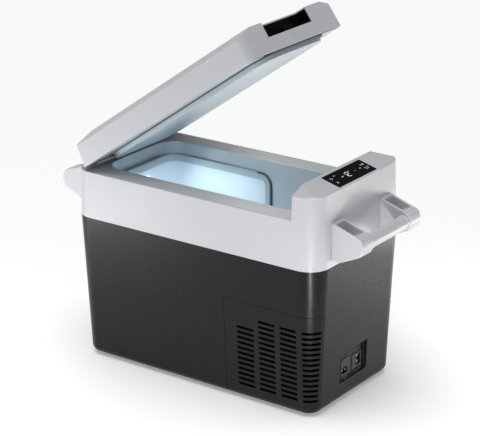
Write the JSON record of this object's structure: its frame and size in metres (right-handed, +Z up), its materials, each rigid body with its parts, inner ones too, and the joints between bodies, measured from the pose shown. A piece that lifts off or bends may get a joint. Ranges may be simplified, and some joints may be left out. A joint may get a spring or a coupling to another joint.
{
  "type": "compressor cooler fridge",
  "caption": "Portable compressor cooler fridge: deep insulated box with hinged insulated lid, control block with keys, air grille, power inlets and carrying handles.",
  "frame": {"origin": "on the ground under the middle of the body", "axes": "+Z up; +X from the lid hinge end to the control block end; -Y is the front face with the air grille"},
  "size_m": [0.6554, 0.283, 0.6745],
  "materials": {
    "charcoal_shell": "satin",
    "light_shell": "satin",
    "grip_plastic": "satin",
    "rim_grey": "satin",
    "liner_blue_grey": "satin",
    "lid_panel_grey": "satin",
    "liner_pale": "satin",
    "liner_frame": "satin",
    "foam": "matte",
    "seal_rubber": "matte",
    "gasket_rubber": "matte",
    "black_plastic": "gloss",
    "socket_black": "matte",
    "key_black": "satin",
    "circuit_board": "satin",
    "lamp_lens": "satin",
    "steel": "satin",
    "compressor_black": "gloss",
    "aluminium": "satin",
    "copper": "satin",
    "contact_metal": "satin",
    "sensor_white": "satin"
  },
  "bodies": {
    "cabinet": {"ac_inlet": "socket_black", "ac_inlet_pins": "contact_metal", "base_tray": "steel", "body_foam": "foam", "compressor_can": "compressor_black", "compressor_grommets": "seal_rubber", "compressor_motor": "steel", "compressor_terminal_box": "socket_black", "condenser": "aluminium", "control_board": "circuit_board", "controller_heat_sink": "aluminium", "dc_inlet": "socket_black", "dc_inlet_pins": "contact_metal", "discharge_line": "copper", "display_board": "circuit_board", "display_panel": "black_plastic", "evaporator": "aluminium", "fan_frame": "socket_black", "feet": "seal_rubber", "grip_left": "grip_plastic", "grip_right": "grip_plastic", "handle_arm_left_front": "light_shell", "handle_arm_left_rear": "light_shell", "handle_arm_right_front": "light_shell", "handle_arm_right_rear": "light_shell", "handle_screws": "steel", "hinge_bracket_front": "rim_grey", "hinge_bracket_rear": "rim_grey", "hinge_pins": "steel", "inlet_panel": "charcoal_shell", "interior_light": "lamp_lens", "latch_strike": "steel", "liner_seal": "seal_rubber", "liner_tub": "liner_pale", "liner_upper": "liner_blue_grey", "lower_housing": "charcoal_shell", "rim_plate": "rim_grey", "service_cover": "charcoal_shell", "service_cover_screws": "steel", "suction_line": "copper", "temperature_sensor": "sensor_white", "tub_trim": "liner_frame", "upper_frame": "light_shell"},
    "lid": {"lid_outer": "light_shell", "lid_end_cap": "light_shell", "lid_pocket_cup": "black_plastic", "lid_inner_panel": "lid_panel_grey", "lid_foam": "foam", "lid_gasket": "gasket_rubber", "lid_hinge_front": "rim_grey", "lid_hinge_rear": "rim_grey"},
    "latch": {"latch_slider": "black_plastic", "latch_nose": "light_shell"},
    "fan": {"fan_impeller": "socket_black"},
    "power_key_cap": {"power_key": "key_black"},
    "set_key_cap": {"set_key": "key_black"},
    "minus_key_cap": {"minus_key": "key_black"},
    "plus_key_cap": {"plus_key": "key_black"}
  },
  "joints": [
    {"name": "lid_hinge", "type": "hinge", "parent": "cabinet", "child": "lid", "pos_m": [-0.2455, 0, 0.3745], "axis": [0, -1, 0], "range_deg": [-35, 50]},
    {"name": "latch_release", "type": "slide", "parent": "lid", "child": "latch", "axis": [-0.8191, 0, -0.5736], "range_m": [0, 0.005], "stiffness_N_per_m": 400},
    {"name": "fan_spin", "type": "hinge", "parent": "cabinet", "child": "fan", "pos_m": [0.157, -0.085, 0.088], "axis": [0, 1, 0], "continuous": true},
    {"name": "power_key_press", "type": "slide", "parent": "cabinet", "child": "power_key_cap", "axis": [-0.2514, 0, -0.9679], "range_m": [0, 0.0006], "stiffness_N_per_m": 800},
    {"name": "set_key_press", "type": "slide", "parent": "cabinet", "child": "set_key_cap", "axis": [-0.2514, 0, -0.9679], "range_m": [0, 0.0006], "stiffness_N_per_m": 800},
    {"name": "minus_key_press", "type": "slide", "parent": "cabinet", "child": "minus_key_cap", "axis": [-0.2514, 0, -0.9679], "range_m": [0, 0.0006], "stiffness_N_per_m": 800},
    {"name": "plus_key_press", "type": "slide", "parent": "cabinet", "child": "plus_key_cap", "axis": [-0.2514, 0, -0.9679], "range_m": [0, 0.0006], "stiffness_N_per_m": 800}
  ]
}
